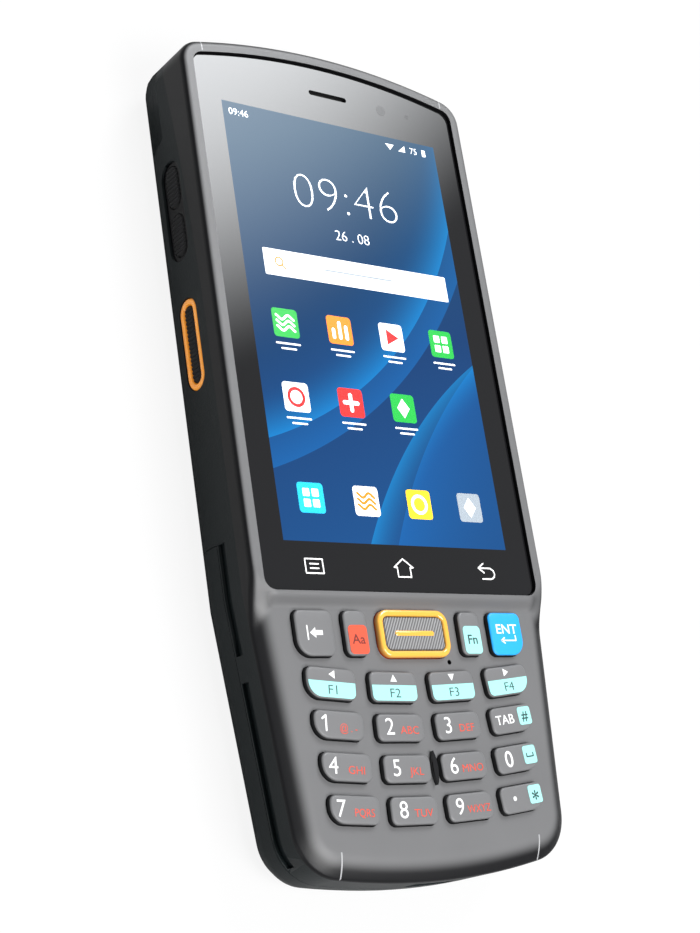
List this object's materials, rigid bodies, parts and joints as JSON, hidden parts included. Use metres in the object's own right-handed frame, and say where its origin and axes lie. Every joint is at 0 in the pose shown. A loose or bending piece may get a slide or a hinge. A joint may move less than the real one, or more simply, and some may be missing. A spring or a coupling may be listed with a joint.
{
  "type": "portable barcode data terminal",
  "caption": "Rugged handheld data terminal with a tall touch screen over a numeric keypad, side scan keys, a top scan window and a slide-off battery door.",
  "frame": {"origin": "middle of the flat back, with the terminal lying on it", "axes": "+Z out of the screen, +Y towards the top end with the scan window, +X to the right as seen by a user"},
  "size_m": [0.068, 0.161, 0.0182],
  "materials": {
    "front_paint": "satin grey paint on moulded plastic",
    "rear_plastic": "fine matt texture, near black",
    "glass_black": "black-backed hardened cover glass",
    "tape": "black adhesive foam",
    "display": "lit display module",
    "frame_metal": "cast light alloy, bare",
    "board": "green solder mask",
    "film": "clear film with metal domes",
    "mat_rubber": "black silicone",
    "ridge_black": "black",
    "battery": "black shrink wrap",
    "contact_plastic": "black moulding with gilt springs",
    "shield_tin": "tinned steel",
    "key_grey": "grey caps, black sides",
    "key_blue": "bright blue cap",
    "clear_orange": "clear orange plastic",
    "pad_grey": "ribbed grey pad",
    "button_rubber": "black ribbed rubber",
    "door_plastic": "fine matt texture, near black",
    "module_black": "black module housing",
    "dark_window": "dark red filter window",
    "lens": "hard-coated lens cover",
    "lamp": "frosted light guide",
    "steel": "zinc-plated steel"
  },
  "bodies": {
    "root": {"front_housing": "front_paint", "rear_housing": "rear_plastic", "cover_glass": "glass_black", "glass_tape": "tape", "display_panel": "display", "middle_frame": "frame_metal", "keypad_board": "board", "dome_film": "film", "keypad_mat": "mat_rubber", "keypad_ridge": "ridge_black", "battery_pack": "battery", "battery_contacts": "contact_plastic", "main_board": "board", "board_shields": "shield_tin", "card_socket": "shield_tin", "left_side_board": "board", "right_side_board": "board", "left_scan_ring": "clear_orange", "right_scan_ring": "clear_orange", "scan_engine": "module_black", "scan_window": "dark_window", "rear_camera": "module_black", "camera_lens": "lens", "camera_lamp": "lamp", "loudspeaker": "module_black", "vibration_motor": "shield_tin", "earpiece": "module_black", "front_camera": "module_black", "light_sensor": "module_black", "housing_screws": "steel", "charging_port": "shield_tin"},
    "key_backspace": {"key_backspace": "key_grey"},
    "key_shift": {"key_shift": "key_grey"},
    "key_function": {"key_function": "key_grey"},
    "key_enter": {"key_enter": "key_blue"},
    "key_f1": {"key_f1": "key_grey"},
    "key_f2": {"key_f2": "key_grey"},
    "key_f3": {"key_f3": "key_grey"},
    "key_f4": {"key_f4": "key_grey"},
    "key_1": {"key_1": "key_grey"},
    "key_2": {"key_2": "key_grey"},
    "key_3": {"key_3": "key_grey"},
    "key_tab": {"key_tab": "key_grey"},
    "key_4": {"key_4": "key_grey"},
    "key_5": {"key_5": "key_grey"},
    "key_6": {"key_6": "key_grey"},
    "key_0": {"key_0": "key_grey"},
    "key_7": {"key_7": "key_grey"},
    "key_8": {"key_8": "key_grey"},
    "key_9": {"key_9": "key_grey"},
    "key_point": {"key_point": "key_grey"},
    "key_scan": {"key_scan": "clear_orange", "scan_pad": "pad_grey"},
    "volume_up_button": {"volume_up_button": "button_rubber"},
    "volume_down_button": {"volume_down_button": "button_rubber"},
    "left_scan_button": {"left_scan_button": "button_rubber"},
    "right_scan_button": {"right_scan_button": "button_rubber"},
    "power_button": {"power_button": "button_rubber"},
    "battery_door": {"battery_door": "door_plastic"},
    "door_latch": {"door_latch": "button_rubber"}
  },
  "joints": [
    {"name": "key_backspace_press", "type": "slide", "parent": "root", "child": "key_backspace", "axis": [0, 0, -1], "range_m": [0, 0.00042], "stiffness_N_per_m": 3000},
    {"name": "key_shift_press", "type": "slide", "parent": "root", "child": "key_shift", "axis": [0, 0, -1], "range_m": [0, 0.00042], "stiffness_N_per_m": 3000},
    {"name": "key_function_press", "type": "slide", "parent": "root", "child": "key_function", "axis": [0, 0, -1], "range_m": [0, 0.00042], "stiffness_N_per_m": 3000},
    {"name": "key_enter_press", "type": "slide", "parent": "root", "child": "key_enter", "axis": [0, 0, -1], "range_m": [0, 0.00042], "stiffness_N_per_m": 3000},
    {"name": "key_f1_press", "type": "slide", "parent": "root", "child": "key_f1", "axis": [0, 0, -1], "range_m": [0, 0.00042], "stiffness_N_per_m": 3000},
    {"name": "key_f2_press", "type": "slide", "parent": "root", "child": "key_f2", "axis": [0, 0, -1], "range_m": [0, 0.00042], "stiffness_N_per_m": 3000},
    {"name": "key_f3_press", "type": "slide", "parent": "root", "child": "key_f3", "axis": [0, 0, -1], "range_m": [0, 0.00042], "stiffness_N_per_m": 3000},
    {"name": "key_f4_press", "type": "slide", "parent": "root", "child": "key_f4", "axis": [0, 0, -1], "range_m": [0, 0.00042], "stiffness_N_per_m": 3000},
    {"name": "key_1_press", "type": "slide", "parent": "root", "child": "key_1", "axis": [0, 0, -1], "range_m": [0, 0.00042], "stiffness_N_per_m": 3000},
    {"name": "key_2_press", "type": "slide", "parent": "root", "child": "key_2", "axis": [0, 0, -1], "range_m": [0, 0.00042], "stiffness_N_per_m": 3000},
    {"name": "key_3_press", "type": "slide", "parent": "root", "child": "key_3", "axis": [0, 0, -1], "range_m": [0, 0.00042], "stiffness_N_per_m": 3000},
    {"name": "key_tab_press", "type": "slide", "parent": "root", "child": "key_tab", "axis": [0, 0, -1], "range_m": [0, 0.00042], "stiffness_N_per_m": 3000},
    {"name": "key_4_press", "type": "slide", "parent": "root", "child": "key_4", "axis": [0, 0, -1], "range_m": [0, 0.00042], "stiffness_N_per_m": 3000},
    {"name": "key_5_press", "type": "slide", "parent": "root", "child": "key_5", "axis": [0, 0, -1], "range_m": [0, 0.00042], "stiffness_N_per_m": 3000},
    {"name": "key_6_press", "type": "slide", "parent": "root", "child": "key_6", "axis": [0, 0, -1], "range_m": [0, 0.00042], "stiffness_N_per_m": 3000},
    {"name": "key_0_press", "type": "slide", "parent": "root", "child": "key_0", "axis": [0, 0, -1], "range_m": [0, 0.00042], "stiffness_N_per_m": 3000},
    {"name": "key_7_press", "type": "slide", "parent": "root", "child": "key_7", "axis": [0, 0, -1], "range_m": [0, 0.00042], "stiffness_N_per_m": 3000},
    {"name": "key_8_press", "type": "slide", "parent": "root", "child": "key_8", "axis": [0, 0, -1], "range_m": [0, 0.00042], "stiffness_N_per_m": 3000},
    {"name": "key_9_press", "type": "slide", "parent": "root", "child": "key_9", "axis": [0, 0, -1], "range_m": [0, 0.00042], "stiffness_N_per_m": 3000},
    {"name": "key_point_press", "type": "slide", "parent": "root", "child": "key_point", "axis": [0, 0, -1], "range_m": [0, 0.00042], "stiffness_N_per_m": 3000},
    {"name": "key_scan_press", "type": "slide", "parent": "root", "child": "key_scan", "axis": [0, 0, -1], "range_m": [0, 0.00042], "stiffness_N_per_m": 3000},
    {"name": "volume_up_button_press", "type": "slide", "parent": "root", "child": "volume_up_button", "axis": [1, 0, 0], "range_m": [0, 0.0004], "stiffness_N_per_m": 3000},
    {"name": "volume_down_button_press", "type": "slide", "parent": "root", "child": "volume_down_button", "axis": [1, 0, 0], "range_m": [0, 0.0004], "stiffness_N_per_m": 3000},
    {"name": "left_scan_button_press", "type": "slide", "parent": "root", "child": "left_scan_button", "axis": [1, 0, 0], "range_m": [0, 0.0004], "stiffness_N_per_m": 3000},
    {"name": "right_scan_button_press", "type": "slide", "parent": "root", "child": "right_scan_button", "axis": [-1, 0, 0], "range_m": [0, 0.0004], "stiffness_N_per_m": 3000},
    {"name": "power_button_press", "type": "slide", "parent": "root", "child": "power_button", "axis": [-1, 0, 0], "range_m": [0, 0.0004], "stiffness_N_per_m": 3000},
    {"name": "door_slide", "type": "slide", "parent": "root", "child": "battery_door", "axis": [0, -1, 0], "range_m": [0, 0.03]},
    {"name": "latch_slide", "type": "slide", "parent": "root", "child": "door_latch", "axis": [1, 0, 0], "range_m": [0, 0.003]}
  ]
}
